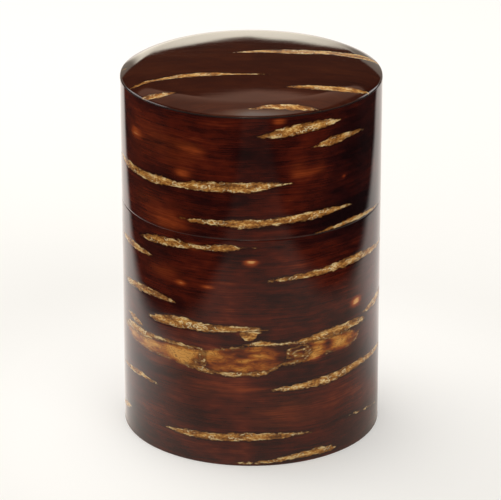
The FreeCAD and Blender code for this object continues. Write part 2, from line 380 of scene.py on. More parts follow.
def read_all(items, name, kind=np.int32, size=1):
    """A property of all items of a mesh as an array. size is how many numbers it has."""
    values = np.empty(len(items) * size, kind)
    items.foreach_get(name, values)
    return values


def unroll(co, flat):
    """Millimetres across and along the sheet for each vertex, and the sheet's girth."""
    sheet_r = np.hypot(co[:, 0], co[:, 1]).max()
    if flat:
        return co[:, 0] / MM, co[:, 1] / MM, 0
    angle = np.arctan2(co[:, 0], -co[:, 1])
    return angle * sheet_r / MM, co[:, 2] / MM, 2 * math.pi * sheet_r / MM


def store_sheet(mesh, across, along, girth):
    """Keeps the sheet coordinates as a UV map, and lets a face at the back run on past the seam."""
    corner = read_all(mesh.loops, "vertex_index")
    u = across[corner]
    if girth:
        first = read_all(mesh.polygons, "loop_start")
        sizes = read_all(mesh.polygons, "loop_total")
        centre = np.add.reduceat(np.cos(u / girth * 2 * np.pi), first)
        sideways = np.add.reduceat(np.sin(u / girth * 2 * np.pi), first)
        middle = np.repeat(np.arctan2(sideways, centre) * girth / (2 * np.pi), sizes)
        u = middle + (u - middle + girth / 2) % girth - girth / 2
    uv = np.stack([u, along[corner]], 1)
    mesh.uv_layers.new(name="BarkSheet").uv.foreach_set("vector", uv.astype(np.float32).ravel())


def lay_sheet(piece, flat, marks, curls=(), glows=(), skin=0, raw=(0, 0)):
    """Stores the sheet and its marks on a bark piece, and sinks its outer skin by the relief.

    skin is the radius, or on a flat sheet the level, past which a vertex lies on the polished face.
    The last argument is the range of levels at which the outer edge is cut bark, painted dark there, and
    under the crown's rim also painted shade.
    """
    mesh = piece.data
    co = read_all(mesh.vertices, "co", float, 3).reshape(-1, 3)
    radius = np.hypot(co[:, 0], co[:, 1])
    across, along, girth = unroll(co, flat)
    cork = np.maximum(depth_in(marks, across, along, girth), curl_depth(curls, across, along))
    is_raw_and_shade = (co[:, 2] > raw[0]) & (co[:, 2] < raw[1]) & (radius > radius.max() - SKIN_MM * MM)
    fields = {
        "cork": np.maximum(cork + REACH, 0),
        "glow": glow_at(glows, across, along),
        "raw": is_raw_and_shade * 1.0,
        "scar": np.maximum(scar_depth(across, along) + REACH, 0) if curls else np.zeros(len(co)),
    }
    for field, values in fields.items():
        mesh.attributes.new(field, "FLOAT", "POINT").data.foreach_set("value", values.astype(np.float32))
    store_sheet(mesh, across, along, girth)
    if skin:
        sink = (SWELL_MM * swell(5, across, along) + CORK_SINK_MM * np.clip(cork * 2 + .5, 0, 1)) * MM
        if flat:
            co[:, 2] -= np.where(co[:, 2] > skin, sink, 0)
        else:
            co[:, :2] *= np.where(radius > skin, 1 - sink / np.maximum(radius, TINY), 1)[:, None]
        mesh.vertices.foreach_set("co", co.ravel())
        mesh.update()


# %% [markdown]
# Finishes are built from nodes. One small function adds a node, sets it and links it.
# Colours are sRGB hex values, and one function turns them to linear.

# %% Node helper and colours
SMOOTH = {"interpolation_type": "SMOOTHSTEP"}
COLOURS = {"data_type": "RGBA", "out": 2}
TIMES = {"operation": "MULTIPLY"}
TIMES_PLUS = {"operation": "MULTIPLY_ADD"}


def linear(hex_value):
    """Linear RGBA from an sRGB hex value."""
    parts = [int(hex_value[i:i + 2], 16) / 255 for i in (1, 3, 5)]
    return [p / 12.92 if p <= .04045 else ((p + .055) / 1.055) ** 2.4 for p in parts] + [1.0]


def add(tree, kind, inputs=None, out=0, **settings):
    """Adds a node with its settings, links or fills its sockets, and returns an output."""
    node = tree.nodes.new("ShaderNode" + kind)
    for key, value in settings.items():
        if key == "stops":
            ramp = node.color_ramp.elements
            while len(ramp) < len(value):
                ramp.new(.5)
            for stop, (place, colour) in zip(ramp, value):
                stop.position = place
                stop.color = linear(colour)
        else:
            setattr(node, key, value)
    for key, value in (inputs or {}).items():
        if isinstance(value, bpy.types.NodeSocket):
            tree.links.new(value, node.inputs[key])
        else:
            node.inputs[key].default_value = value
    return node.outputs[out] if node.outputs else None


def start_material(name):
    """New material and its empty node tree."""
    material = bpy.data.materials.new(name)
    material.use_nodes = True
    material.node_tree.nodes.clear()
    return material, material.node_tree


def end_material(tree, colour, roughness, relief, bump, ior):
    """Ends a material. bump is the strength of its relief and its height in millimetres."""
    bent = add(tree, "Bump", {"Strength": bump[0], "Distance": bump[1] * MM, "Height": relief})
    surface = {"Base Color": colour, "Roughness": roughness, "IOR": ior, "Normal": bent}
    add(tree, "OutputMaterial", {0: add(tree, "BsdfPrincipled", surface)})


print("sRGB mid grey is", round(linear("#808080")[0], 3), "in linear light")

# %% [markdown]
# Three patterns come back in most finishes, so each has a function.
# One adds up fields by their shares, and one keeps what lies inside several soft limits at once.
# The last lays a tint over a colour inside such limits.

# %% Sums and overlaps


def summed(tree, field, shares, start=0):
    """Sum of some fields, each times its share, on top of a start value."""
    total = start
    for name, share in shares.items():
        total = add(tree, "Math", {0: field[name], 1: share, 2: total}, **TIMES_PLUS)
    return total


def overlap(tree, *limits):
    """Product of soft steps, each given as its value, where it starts, where it ends and its height."""
    total = 1
    for value, start, end, height in limits:
        step = add(tree, "MapRange", {0: value, 1: start, 2: end, 4: height}, **SMOOTH)
        total = add(tree, "Math", {0: total, 1: step}, **TIMES)
    return total


def laid_over(tree, colour, tint, *limits):
    """A colour with a tint laid over it where soft limits overlap."""
    return add(tree, "Mix", {0: overlap(tree, *limits), 6: colour, 7: linear(tint)}, **COLOURS)


# %% [markdown]
# Polished cherry bark is thin, hard and deep red-brown, rubbed with wax to a clear gloss.
# Its pattern could be one noise, but the tree lays it down in layers of very different size.
# So each layer is a noise field of its own, and the finish mixes them.
# It is given as its width and height in sheet millimetres, its detail and its roughness.
# Growth lines are about 0.4 mm apart and wander a little, and the grain of cork is about 0.5 mm.

# %% Fields of the bark
DRIFT_MM = (30, 14, 1)
WANDER_MM = (0, 2.6, 0)
ALONG_LINES = {
    "lines": (26, .4, 3, .6), "bands": (45, 2.6, 2, .5), "patches": (22, 12, 2, .5),
    "fleck": (9, 1.3, 3, .6), "blotch": (9, 3.4, 2.5, .5),
}
ON_SHEET = {
    "fray": (2.2, .9, 4, .62), "grit": (.95, .5, 3, .6), "mottle": (5, 1.5, 2, .5),
    "twist": (1.3, .9, 2, .5), "some": (6, 2.5, 2, .5),
}


def bark_fields(tree):
    """Noise fields of the bark, what its vertices store, and the sheet's own coordinates."""
    sheet = add(tree, "UVMap", uv_map="BarkSheet")
    slow = add(tree, "VectorMath", {0: sheet, 1: DRIFT_MM}, operation="DIVIDE")
    waves = {"Vector": slow, "Scale": 1, "Detail": 2}
    drift = add(tree, "TexNoise", waves, "Color", noise_dimensions="2D")
    wandering = add(tree, "VectorMath", {0: drift, 1: WANDER_MM, 2: sheet}, **TIMES_PLUS)
    field = {"sheet": sheet}
    for name in ("cork", "glow", "raw", "scar"):
        field[name] = add(tree, "Attribute", out="Fac", attribute_name=name)
    for place, sizes in ((wandering, ALONG_LINES), (sheet, ON_SHEET)):
        for name, (wide, high, detail, rough) in sizes.items():
            scaled = add(tree, "VectorMath", {0: place, 1: (wide, high, 1)}, operation="DIVIDE")
            inputs = {"Vector": scaled, "Scale": 1, "Detail": detail, "Roughness": rough}
            field[name] = add(tree, "TexNoise", inputs, noise_dimensions="2D")
    return field


def frayed_depth(tree, field, name, fray_mm):
    """Depth inside a mark or the scar in millimetres, with a frayed outline."""
    frayed = add(tree, "Math", {0: field["fray"], 1: fray_mm, 2: -fray_mm / 2 - REACH}, **TIMES_PLUS)
    return add(tree, "Math", {0: field[name], 1: frayed}, operation="ADD")


print("layers in the bark:", len(ALONG_LINES) + len(ON_SHEET))

# %% [markdown]
# The ground is nearly black where the bark is thick and glows red or orange where it is thin.
# The glow is broken by fine dark growth lines, as the light comes from under them.

# %% Ground of the bark
GROUND_SHARES = {"lines": .18, "bands": .13, "patches": .26, "blotch": .08, "mottle": .15, "glow": .12}
GROUND_START = .11


def ground_colour(tree, field, tones):
    """Colour of the ground, with its growth lines and glowing places."""
    tone = summed(tree, field, GROUND_SHARES, GROUND_START)
    colour = add(tree, "ValToRGB", {0: tone}, stops=tones)
    broken = add(tree, "MapRange", {0: field["fleck"], 1: .34, 2: .64, 3: .7, 4: 1.12}, **SMOOTH)
    glow = add(tree, "Math", {0: field["glow"], 1: broken}, **TIMES)
    lined = add(tree, "MapRange", {0: field["lines"], 1: .4, 2: .58, 3: .84, 4: 1.05}, **SMOOTH)
    glow = add(tree, "Math", {0: glow, 1: lined}, **TIMES)
    colour = laid_over(tree, colour, "#93401A", (glow, 0, .9, 1))
    return laid_over(tree, colour, "#D9A060", (glow, .65, 1.3, 1))


# %% [markdown]
# The healed scar is a blotched red-brown, and it turns golden where the bark is thinnest.
# Thin dark lines run along it and round its blotches.
# Its outline is a broken line of pale cork, and it is soft where the bark glows.

# %% Scar
SCAR_FRAY_MM = 2.2
HEALED_SHARES = {"blotch": .6, "fleck": .2, "mottle": .2, "glow": .16}
HEALED_START = -.025
HEALED_TONES = [(.3, "#37150B"), (.42, "#642A10"), (.5, "#8C4716"), (.58, "#B06D28"), (.68, "#CB9044")]


def scar_colour(tree, field, depth, colour):
    """The ground's colour with the scar laid over it."""
    tone = summed(tree, field, HEALED_SHARES, HEALED_START)
    healed = add(tree, "ValToRGB", {0: tone}, stops=HEALED_TONES)
    streak = add(tree, "MapRange", {0: field["lines"], 1: .5, 2: .36, 3: 0, 4: .2}, **SMOOTH)
    folded = add(tree, "Math", {0: field["blotch"], 1: .045}, operation="PINGPONG")
    ripple = add(tree, "MapRange", {0: folded, 1: .014, 2: .003, 3: 0, 4: .6}, **SMOOTH)
    streak = add(tree, "Math", {0: streak, 1: ripple}, operation="MAXIMUM")
    healed = add(tree, "Mix", {0: streak, 6: healed, 7: linear("#4A2212")}, **COLOURS)
    inside = add(tree, "MapRange", {0: depth, 1: -.1, 2: .6}, **SMOOTH)
    return add(tree, "Mix", {0: inside, 6: colour, 7: healed}, **COLOURS)


def scar_lip(tree, field, depth):
    """Where the scar's outline is corky, from 0 to 1."""
    line = ((depth, -.5, -.1, 1), (depth, .6, .2, 1))
    return overlap(tree, *line, (field["glow"], .6, .25, 1), (field["some"], .42, .54, 1))


# %% [markdown]
# Cork in the marks is golden and matter than the ground, and unevenly so along each mark.
# It has small rings about 2 mm across, pale lines at its edges, and it fades to brown at its tips.

# %% Cork
CORK_TONES = [(.32, "#502E0D"), (.42, "#7C4A17"), (.49, "#9E6526"), (.56, "#B98239"), (.65, "#DEB570")]
RING_MM = (2.3, 1.5, 1)
RING_TWIST_MM = (1.5, 1, 0)
CORK_FRAY_MM = 1.5
CORK_SHARES = {"grit": .5, "mottle": .5}


def ring_cells(tree, field):
    """Distance from the centre of the nearest small ring in the cork."""
    twist = {0: field["twist"], 1: RING_TWIST_MM, 2: field["sheet"]}
    twisted = add(tree, "VectorMath", twist, **TIMES_PLUS)
    scaled = add(tree, "VectorMath", {0: twisted, 1: RING_MM}, operation="DIVIDE")
    return add(tree, "TexVoronoi", {"Vector": scaled, "Scale": 1}, voronoi_dimensions="2D")


def cork_colour(tree, field, depth):
    """Colour of the cork, with its rings, its brown tips and the pale lines near its edges."""
    colour = add(tree, "ValToRGB", {0: summed(tree, field, CORK_SHARES)}, stops=CORK_TONES)
    cells = ring_cells(tree, field)
    rings = ((cells, .2, .28, 1), (cells, .42, .32, 1), (field["some"], .47, .6, .85))
    colour = laid_over(tree, colour, "#E6D3A2", *rings)
    colour = laid_over(tree, colour, "#66401A", (depth, .7, .1, .6))
    edges = ((depth, .12, .25, 1), (depth, .5, .32, 1), (field["mottle"], .5, .62, .8))
    return laid_over(tree, colour, "#DCC590", *edges)


# %% [markdown]
# The finish puts ground, scar and cork together, and darkens the cut edges and the seam at the back;
# under the crown's rim the darkened edge is painted shade too.
# Wax fills everything, so the gloss is even, and only cork and raw edges are duller.
# Wax and bark bend light by about 1.52.

# %% Cherry bark finish
WAX_IOR = 1.52
WAX_BUMP = (.25, .05)
SEAM_MM = (.2, .08)
UNEVEN_GLOSS = .03
CORK_DULLNESS = .2
RAW_DULLNESS = .4


def cherry_bark(name, tones, gloss, seam_at=0):
    """Bark finish with its own ground tones and gloss. seam_at is the arc where the sheet's ends meet."""
    material, tree = start_material(name)
    field = bark_fields(tree)
    scar = frayed_depth(tree, field, "scar", SCAR_FRAY_MM)
    cork = frayed_depth(tree, field, "cork", CORK_FRAY_MM)
    colour = scar_colour(tree, field, scar, ground_colour(tree, field, tones))
    colour = laid_over(tree, colour, "#1F0B08", (cork, -.8, -.1, .5))
    is_cork = add(tree, "MapRange", {0: cork, 1: -.12, 2: .22}, **SMOOTH)
    is_cork = add(tree, "Math", {0: is_cork, 1: scar_lip(tree, field, scar)}, operation="MAXIMUM")
    corky = cork_colour(tree, field, cork)
    colour = add(tree, "Mix", {0: is_cork, 6: colour, 7: corky}, **COLOURS)
    raw = field["raw"]
    if seam_at:
        arc = add(tree, "SeparateXYZ", {0: field["sheet"]})
        arc = add(tree, "Math", {0: arc}, operation="ABSOLUTE")
        start, end = (seam_at - mm for mm in SEAM_MM)
        at_seam = add(tree, "MapRange", {0: arc, 1: start, 2: end}, **SMOOTH)
        raw = add(tree, "Math", {0: raw, 1: at_seam}, operation="MAXIMUM")
    # Cut edges and the seam are painted near black, and under the crown's rim this is painted shade as
    # well.
    colour = add(tree, "Mix", {0: raw, 6: colour, 7: linear("#150807")}, **COLOURS)
    uneven = {0: field["lines"], 1: .3, 2: .7, 3: gloss, 4: gloss + UNEVEN_GLOSS}
    roughness = add(tree, "MapRange", uneven)
    roughness = add(tree, "Math", {0: is_cork, 1: CORK_DULLNESS, 2: roughness}, **TIMES_PLUS)
    roughness = add(tree, "Math", {0: raw, 1: RAW_DULLNESS, 2: roughness}, **TIMES_PLUS)
    grain = add(tree, "Math", {0: field["grit"], 1: is_cork}, **TIMES)
    relief = add(tree, "Math", {0: field["lines"], 1: .25, 2: grain}, **TIMES_PLUS)
    end_material(tree, colour, roughness, relief, WAX_BUMP, WAX_IOR)
    print("finish:", name, "with", len(tree.nodes), "nodes")
    return material


WALL_TONES = [(.34, "#140708"), (.43, "#260B0A"), (.5, "#39110B"), (.57, "#4D180D"), (.68, "#702E16")]
CROWN_TONES = [(.36, "#2A100A"), (.5, "#36150C"), (.64, "#451E0F")]
wall_finish = cherry_bark("polished_cherry_bark", WALL_TONES, .035, half_girth)
crown_finish = cherry_bark("polished_cherry_bark_crown", CROWN_TONES, .03)

# %% [markdown]
# The wall of the body is one bark sheet glued round a rolled tube, from the foot up to the shoulder.
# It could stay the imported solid, but its marks and its swell need a mesh of about half a millimetre.
# So it is spun anew at the same size, with the top edge broken where the lid meets it.

# %% Body wall
FINE_MM = 0.5
EDGE_BREAK = 0.07 * MM
RAW_EDGE = 0.06 * MM
fine_steps = round(wall_girth / MM / FINE_MM / WEDGES) * WEDGES


def dress(piece, body, node, material):
    """Gives a piece its finish and its body, and lets it stand for a node."""
    piece.data.materials.append(material)
    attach(piece, body)
    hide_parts(node)
    print(piece.name, "has", len(piece.data.polygons), "faces")


wall_rows = round((shoulder - wall_low) / MM / FINE_MM)
wall_corners = [(core_r, wall_low), (wall_r, wall_low), (wall_r, shoulder), (core_r, shoulder)]
shoulder_round = [(wall_r, shoulder, EDGE_BREAK, 2)]
body_wall = spun("body_wall_bark", wall_corners, fine_steps, {1: wall_rows}, shoulder_round)
wall_skin = wall_r - SKIN_MM * MM
shoulder_edge = (shoulder - RAW_EDGE, shoulder + RAW_EDGE)
lay_sheet(body_wall, False, WALL_MARKS + far_marks, CURLS, WALL_GLOWS, wall_skin, shoulder_edge)
dress(body_wall, "body", "body_bark", wall_finish)

# %% [markdown]
# The lid's wall is cut from the same wrapped tube, so its lines and marks run on from the body's.
# It ends under the crown's sheet, which covers its upper end.

# %% Lid wall
lid_low, lid_high = span("lid_bark")[1:]
crown_centre = crown_top - CROWN_RADIUS
roll_start = wall_r - ROLL_BAND
roll_tilt = math.asin(roll_start / CROWN_RADIUS)
roll_centre_r = (CROWN_RADIUS - ROLL_RADIUS) * math.sin(roll_tilt)
roll_centre = crown_centre + (CROWN_RADIUS - ROLL_RADIUS) * math.cos(roll_tilt)


def roll_level(r, depth):
    """Level of the rolled edge of the crown at radius r, lowered by depth."""
    return roll_centre + math.sqrt((ROLL_RADIUS - depth) ** 2 - (r - roll_centre_r) ** 2)


rim = roll_level(wall_r, 0)
lid_rows = round((lid_high - lid_low) / MM / FINE_MM)
lid_corners = [(core_r, lid_low), (wall_r, lid_low)]
lid_corners += [(wall_r, roll_level(wall_r, BARK)), (core_r, roll_level(core_r, BARK))]
lid_round = [(wall_r, lid_low, EDGE_BREAK, 2)]
lid_wall = spun("lid_wall_bark", lid_corners, fine_steps, {1: lid_rows}, lid_round)
lay_sheet(lid_wall, False, WALL_MARKS + far_marks, (), WALL_GLOWS, wall_skin, shoulder_edge)
dress(lid_wall, "lid", "lid_bark", wall_finish)

# %% [markdown]
# The crown is a sheet pressed over a gently domed board, and it rolls down faster near the rim.
# Its section is two tangent arcs, each made by spinning one vertex about the arc's own centre.
# The section is closed at the rim and spun round the axis, and the rim is rounded.
# Below the round, the cut edge of the sheet is painted as a thin dark line round the lid, both raw bark
# and painted shade under the rim.

# %% Crown
RIM_ROUND = 0.42 * MM
CROWN_RINGS = 64
ROLL_RINGS = 14


def crown_wire(bm):
    """Section of the crown's sheet: two arcs above and the same two arcs below, joined at the rim."""
    ends = []
    for depth in (0, BARK):
        first = bm.verts.new((0, 0, crown_top - depth))
        dome = {"cent": (0, 0, crown_centre), "angle": -roll_tilt, "steps": CROWN_RINGS}
        past = math.asin((wall_r - roll_centre_r) / (ROLL_RADIUS - depth)) - roll_tilt
        roll = {"cent": (0, roll_centre_r, roll_centre), "angle": -past, "steps": ROLL_RINGS}
        for arc in (dome, roll):
            made = bmesh.ops.spin(bm, geom=[first], axis=(1, 0, 0), **arc)
            first = [g for g in made["geom_last"] if isinstance(g, bmesh.types.BMVert)][0]
        ends.append(first)
    bm.edges.new(ends)


bm = bmesh.new()
crown_wire(bm)
crown = spin_wire("crown_bark", bm, fine_steps, [(wall_r, rim, RIM_ROUND, 4)])
crown_skin = roll_level(wall_r, BARK * .9)
# Below the rim round the cut edge is painted dark, partly as raw bark and partly as painted shade.
lay_sheet(crown, True, CROWN_MARKS, skin=crown_skin, raw=(lid_low, rim - RIM_ROUND * .9))
dress(crown, "lid", "lid_top_bark", crown_finish)

# %% [markdown]
# A disc of the same bark closes the foot, with its lower edge rounded.

# %% Foot
FOOT_ROUND = 0.3 * MM
FOOT_RINGS = {0: 60, 2: 2}
foot_r, foot_low, foot_high = span("base_bark")
foot_corners = [(0, foot_low), (foot_r, foot_low), (foot_r, foot_high), (0, foot_high)]
foot = spun("foot_bark", foot_corners, fine_steps, FOOT_RINGS, [(foot_r, foot_low, FOOT_ROUND, 4)])
foot_marks = chance_marks(23, across=(-36, 36), along=(-36, 36), count=9, longest=34)
lay_sheet(foot, True, foot_marks)
dress(foot, "body", "base_bark", wall_finish)

# %% [markdown]
# Inside, thinner bark lines the neck, the well, the lid and the plug of the inner lid.
# It is the same bark with a satin rub in place of the wax polish, a little lighter and redder.
# Each lining is a tube with rows of cuts on the side that shows, and its lip is rounded.

# %% Linings of the tubes
LINING_TONES = [(.36, "#2A120D"), (.44, "#3D1A10"), (.51, "#4F2214"), (.58, "#632C17"), (.68, "#7D3F22")]
LINING_STEPS = 360
LIP_ROUND = 0.25 * MM
lining_finish = cherry_bark("satin_cherry_bark", LINING_TONES, .2)


def lining_tube(name, node, body, inner_r, bare, seed, outside, lip_high):
    """Bark tube for a node, showing its outside or its inside, with a round on the lip that slides."""
    outer_r, low, high = span(node)
    corners = [(inner_r, low), (outer_r, low), (outer_r, bare), (outer_r, high), (inner_r, high)]
    rows = round((high - (bare if outside else low)) / MM)
    lip = (outer_r if outside else inner_r, high if lip_high else low, LIP_ROUND, 3)
    tube = spun(name, corners, LINING_STEPS, {2 if outside else 4: rows}, [lip])
    girth = math.pi * outer_r / MM
    levels = (low / MM + 2, high / MM - 2)
    marks = chance_marks(seed, (-girth, girth), levels, max(3, rows // 3), girth / 2)
    lay_sheet(tube, False, marks)
    dress(tube, body, node, lining_finish)


sleeve_r = span("inner_sleeve")[0]
lining_r, well_low = span("inner_bark")[:2]
lid_bore_r = span("lid_ceiling_bark")[0]
plug_ring_r, plug_low = span("plug_ring")[:2]
bore_r = lining_r - (span("sleeve_bark")[0] - sleeve_r)
lining_tube("neck_bark", "sleeve_bark", "body", sleeve_r, shoulder, 31, True, True)
lining_tube("well_bark", "inner_bark", "body", bore_r, well_low + MM, 37, False, True)
lining_tube("lid_lining_bark", "lid_lining", "lid", lid_bore_r, lid_low + MM, 41, False, False)
lining_tube("plug_wrap_bark", "plug_bark", "inner_lid", plug_ring_r, plug_low + MM, 43, True, False)

# %% [markdown]
# Discs of the same thin bark cover the well's floor, the lid's ceiling and both faces of the inner lid.
# The disc on top of the inner lid has a hole for the peg of its knob.

# %% Linings of the discs
FLANGE_ROUND = 0.3 * MM
DISC_RINGS = 48
peg_r = span("knob_peg")[0]


def lining_disc(name, node, body, hole_r, seed, edge_round):
    """Bark disc standing for a node, with its marks running from left to right."""
    outer_r, low, high = span(node)
    corners = [(hole_r, low), (outer_r, low), (outer_r, high), (hole_r, high)]
    rings = {0: DISC_RINGS, 2: DISC_RINGS}
    rounds = [(outer_r, high, edge_round, 3)] if edge_round else []
    disc = spun(name, corners, LINING_STEPS, rings, rounds)
    reach = outer_r / MM
    lay_sheet(disc, True, chance_marks(seed, (-reach, reach), (-reach, reach), 12, reach))
    dress(disc, body, node, lining_finish)


lining_disc("well_floor_bark", "floor_bark", "body", 0, 51, 0)
lining_disc("lid_ceiling_sheet", "lid_ceiling_bark", "lid", 0, 53, 0)
lining_disc("inner_lid_face_bark", "inner_lid_bark", "inner_lid", peg_r, 59, FLANGE_ROUND)
lining_disc("inner_lid_under_sheet", "inner_lid_underbark", "inner_lid", 0, 61, 0)

# %% [markdown]
# The tubes under the bark are rolled veneer, which shows on their ends as fine rings.
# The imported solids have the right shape, so they stay, and only get a finish.
# Each turn round the axis is about 0.4 mm of pale veneer and a thin dark glue line.

# %% Rolled veneer finish
TURN_MM = 0.4
WOOD_IOR = 1.5
WOOD_BUMP = (.3, .05)
FIBRE_STRETCH = (2.5, 2.5, .2)
VENEER_TONES = [(.3, "#9A6B3C"), (.5, "#B98A55"), (.7, "#CFA672")]


def object_mm(tree):
    """Place on the object in millimetres."""
    place = add(tree, "TexCoord", out="Object")
    return add(tree, "VectorMath", {0: place, "Scale": 1 / MM}, operation="SCALE")


def ringed(tree, place, uneven, sway, apart):
    """Rings round the origin, from 0 to 1 across each of them, swaying with an uneven field."""
    distance = add(tree, "VectorMath", {0: place}, "Value", operation="LENGTH")
    distance = add(tree, "Math", {0: uneven, 1: sway, 2: distance}, **TIMES_PLUS)
    rings = add(tree, "Math", {0: distance, 1: apart}, operation="DIVIDE")
    return add(tree, "Math", {0: rings}, operation="FRACT")


def finish_nodes(nodes, material):
    """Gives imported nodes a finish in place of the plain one."""
    for node in nodes:
        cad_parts[node].material_slots[0].material = material
    print(material.name, "on", nodes)


def rolled_veneer():
    """Pale veneer in thin turns round the axis, with dark glue between them."""
    material, tree = start_material("rolled_cherry_veneer")
    mm = object_mm(tree)
    level = add(tree, "VectorMath", {0: mm, 1: (1, 1, 0)}, **TIMES)
    uneven = add(tree, "TexNoise", {"Vector": mm, "Scale": .2, "Detail": 2})
    turn = ringed(tree, level, uneven, .2, TURN_MM)
    drawn = add(tree, "VectorMath", {0: mm, 1: FIBRE_STRETCH}, **TIMES)
    fibre = add(tree, "TexNoise", {"Vector": drawn, "Scale": 1, "Detail": 4, "Roughness": .6})
    colour = add(tree, "ValToRGB", {0: fibre}, stops=VENEER_TONES)
    colour = laid_over(tree, colour, "#5A3418", (turn, .24, .08, .7))
    roughness = add(tree, "MapRange", {0: fibre, 1: .3, 2: .7, 3: .62, 4: .48})
    end_material(tree, colour, roughness, fibre, WOOD_BUMP, WOOD_IOR)
    return material


finish_nodes(("body_core", "inner_sleeve", "lid_core", "plug_ring"), rolled_veneer())

# %% [markdown]
# The boards are turned from pale, straight-grained wood, and they show only at their edges.
# Growth rings are about 2 mm apart round a heart below and behind the board, as in a sawn plank.

# %% Turned board finish
GROWTH_MM = 2.0
HEART_MM = (0, 34, -70)
PORE_STRETCH = (.25, 5, 5)
BOARD_TONES = [(.1, "#C69C68"), (.6, "#B98B57"), (.92, "#9A6B3B"), (1, "#C0945F")]


def turned_board():
    """Sanded light wood with growth rings round a distant heart, and fine dark pores."""
    material, tree = start_material("turned_light_wood")
    mm = object_mm(tree)
    from_heart = add(tree, "VectorMath", {0: mm, 1: HEART_MM}, operation="SUBTRACT")
    across = add(tree, "VectorMath", {0: from_heart, 1: (.03, 1, 1)}, **TIMES)
    uneven = add(tree, "TexNoise", {"Vector": across, "Scale": .12, "Detail": 2})
    ring = ringed(tree, across, uneven, 3, GROWTH_MM)
    colour = add(tree, "ValToRGB", {0: ring}, stops=BOARD_TONES)
    drawn = add(tree, "VectorMath", {0: mm, 1: PORE_STRETCH}, **TIMES)
    pores = add(tree, "TexNoise", {"Vector": drawn, "Scale": 1, "Detail": 3, "Roughness": .6})
    colour = laid_over(tree, colour, "#7E5630", (pores, .5, .34, .5))
    roughness = add(tree, "MapRange", {0: pores, 1: .3, 2: .7, 3: .6, 4: .46})
    end_material(tree, colour, roughness, pores, WOOD_BUMP, WOOD_IOR)
    return material


finish_nodes(("base_board", "lid_top_board", "inner_lid_board", "knob_peg"), turned_board())

# %% [markdown]
# The knob is turned from many sheets of bark glued in a stack, so its profile cuts through them.
# On its sides the sheets are thin stripes, and on its crowned top they open into uneven rings.
# The sheets are about 0.45 mm thick, dark and reddish by turns, with pale cork in a few of them.

# %% Stacked bark finish
STACK_MM = 0.45
STACK_BUMP = (.2, .04)
STACK_TONES = [
    (.3, "#200C09"), (.42, "#3C170D"), (.5, "#5B2613"), (.58, "#7A3A1B"), (.66, "#33130C"),
    (.76, "#A9783F"),
]


def stacked_bark():
    """Level sheets of bark glued in a stack and polished."""
    material, tree = start_material("stacked_cherry_bark")
    mm = object_mm(tree)
    uneven = add(tree, "TexNoise", {"Vector": mm, "Scale": .35, "Detail": 2}, "Color")
    bent = add(tree, "VectorMath", {0: uneven, 1: (0, 0, .7), 2: mm}, **TIMES_PLUS)
    pressed = add(tree, "VectorMath", {0: bent, 1: (16, 16, STACK_MM)}, operation="DIVIDE")
    sheets = add(tree, "TexNoise", {"Vector": pressed, "Scale": 1, "Detail": 3, "Roughness": .6})
    colour = add(tree, "ValToRGB", {0: sheets}, stops=STACK_TONES)
    roughness = add(tree, "MapRange", {0: sheets, 1: .3, 2: .7, 3: .1, 4: .22})
    end_material(tree, colour, roughness, sheets, STACK_BUMP, WAX_IOR)
    return material


finish_nodes(("knob",), stacked_bark())

# %% [markdown]
# The stage is a plain pale floor that runs back to a white studio and keeps the caddy's soft shadow.

# %% Floor
FLOOR_HALF = 3.0
bm = bmesh.new()
bmesh.ops.create_grid(bm, x_segments=1, y_segments=1, size=FLOOR_HALF)
floor_mesh = bpy.data.meshes.new("floor")
bm.to_mesh(floor_mesh)
bm.free()
floor = bpy.data.objects.new("floor", floor_mesh)
scene.collection.objects.link(floor)
print("floor is", 2 * FLOOR_HALF, "m wide")

# %% [markdown]
# The floor is matt paper. Seen straight, it has a faint veil of light, as thrown back by a white room.
# The veil is strongest close to the caddy, where it lightens the shadow, and far behind it.

# %% Paper seen straight
paper, tree = start_material("white_paper")
ground = add(tree, "TexCoord", out="Object")
place = add(tree, "SeparateXYZ", {0: ground}).node.outputs
rays = add(tree, "LightPath").node.outputs
away = add(tree, "VectorMath", {0: ground}, "Value", operation="LENGTH")
close = add(tree, "MapRange", {0: away, 1: .13, 2: .05, 3: .065, 4: .2}, **SMOOTH)
back = add(tree, "MapRange", {0: place[1], 1: 0, 2: .4, 3: 0, 4: .08}, **SMOOTH)
paleness = add(tree, "Math", {0: close, 1: back}, operation="ADD")
paleness = add(tree, "Math", {0: paleness, 1: rays["Is Camera Ray"]}, **TIMES)
plain = add(tree, "BsdfDiffuse", {0: linear("#EDEAE4")})
veil = add(tree, "Emission", {0: linear("#FFFFFD"), 1: paleness})
lit = add(tree, "AddShader", {0: plain, 1: veil})
print("paper with", len(tree.nodes), "nodes")

# %% [markdown]
# A glossy wall seen from above mirrors the floor, and shows a sheet there that widens to the back.
# The sheet is dim and warm in front of the caddy, and bright behind it.
# It fades a little to the right, and in the shadow there.

# %% Paper seen in a gloss
SHEET_SHIFT = .018
SHEET_TAPER = -.25
SHADE_AT = (.05, .015, 0)
WARM_FRONT = "#FFF3DF"
WHITE_BACK = "#FFF6EE"
side = add(tree, "Math", {0: place[0], 1: SHEET_SHIFT}, operation="SUBTRACT")
side = add(tree, "Math", {0: side}, operation="ABSOLUTE")
side = add(tree, "Math", {0: place[1], 1: SHEET_TAPER, 2: side}, **TIMES_PLUS)
on_sheet = add(tree, "MapRange", {0: side, 1: .172, 2: .135, 3: .02, 4: 1}, **SMOOTH)
front = add(tree, "MapRange", {0: place[1], 1: -.3, 2: -.13, 3: .08, 4: .38}, **SMOOTH)
turned = add(tree, "Math", {0: place[0], 1: SHEET_TAPER, 2: place[1]}, **TIMES_PLUS)
behind = add(tree, "MapRange", {0: turned, 1: -.06, 2: .03}, **SMOOTH)
bright = add(tree, "MapRange", {0: place[0], 1: -.15, 2: .15, 3: .97, 4: .65})
shade = add(tree, "VectorMath", {0: ground, 1: SHADE_AT}, "Value", operation="DISTANCE")
